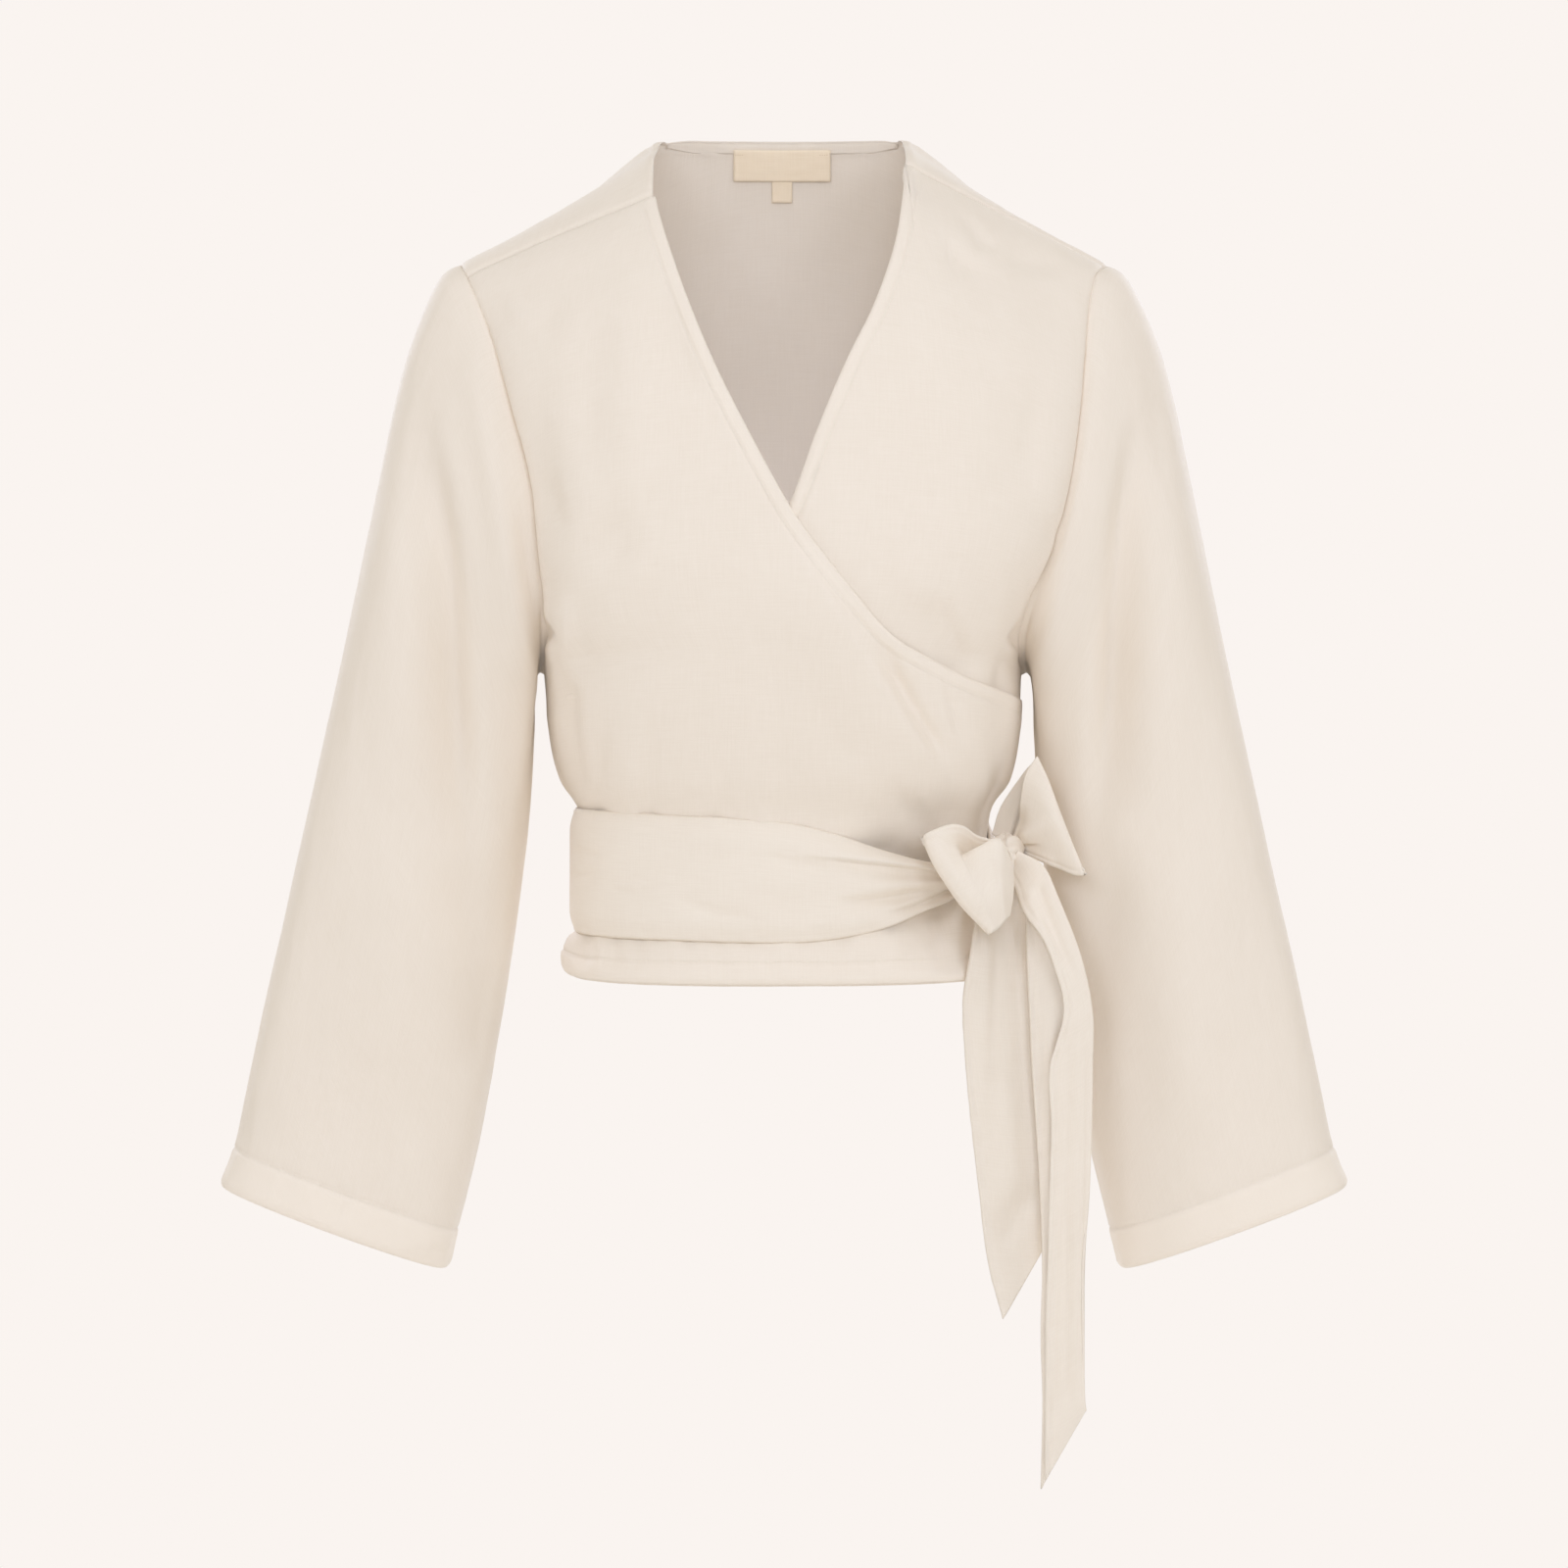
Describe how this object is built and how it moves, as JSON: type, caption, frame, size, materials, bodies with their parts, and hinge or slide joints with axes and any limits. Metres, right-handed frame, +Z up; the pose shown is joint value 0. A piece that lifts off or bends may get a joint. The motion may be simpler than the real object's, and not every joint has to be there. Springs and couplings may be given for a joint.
{
  "type": "wrap top",
  "caption": "Cropped wrap top in light woven cloth, with wide sleeves and a waist tie knotted in a bow at the side, in its worn hollow shape.",
  "frame": {"origin": "midway between the two points where the shoulders meet the neck, where the wearer's shoulders hold the top up", "axes": "the front faces -Y, the wearer's right is at -X, and +Z is up the body"},
  "size_m": [0.6872, 0.2295, 0.8248],
  "materials": {
    "cloth": "cream plain weave with a soft satin sheen",
    "tie_cloth": "the same cream cloth, doubled",
    "label_cloth": "tan woven label ribbon"
  },
  "bodies": {
    "root": {"back": "cloth", "front_over": "cloth", "front_under": "cloth", "sleeve_right": "cloth", "sleeve_left": "cloth", "neck_facing": "cloth", "neck_label": "label_cloth", "size_tab": "label_cloth", "waist_tie": "tie_cloth", "bow_knot": "tie_cloth", "bow_loop_front": "tie_cloth", "bow_loop_back": "tie_cloth", "tie_end_short": "tie_cloth", "tie_end_long": "tie_cloth"}
  },
  "joints": []
}
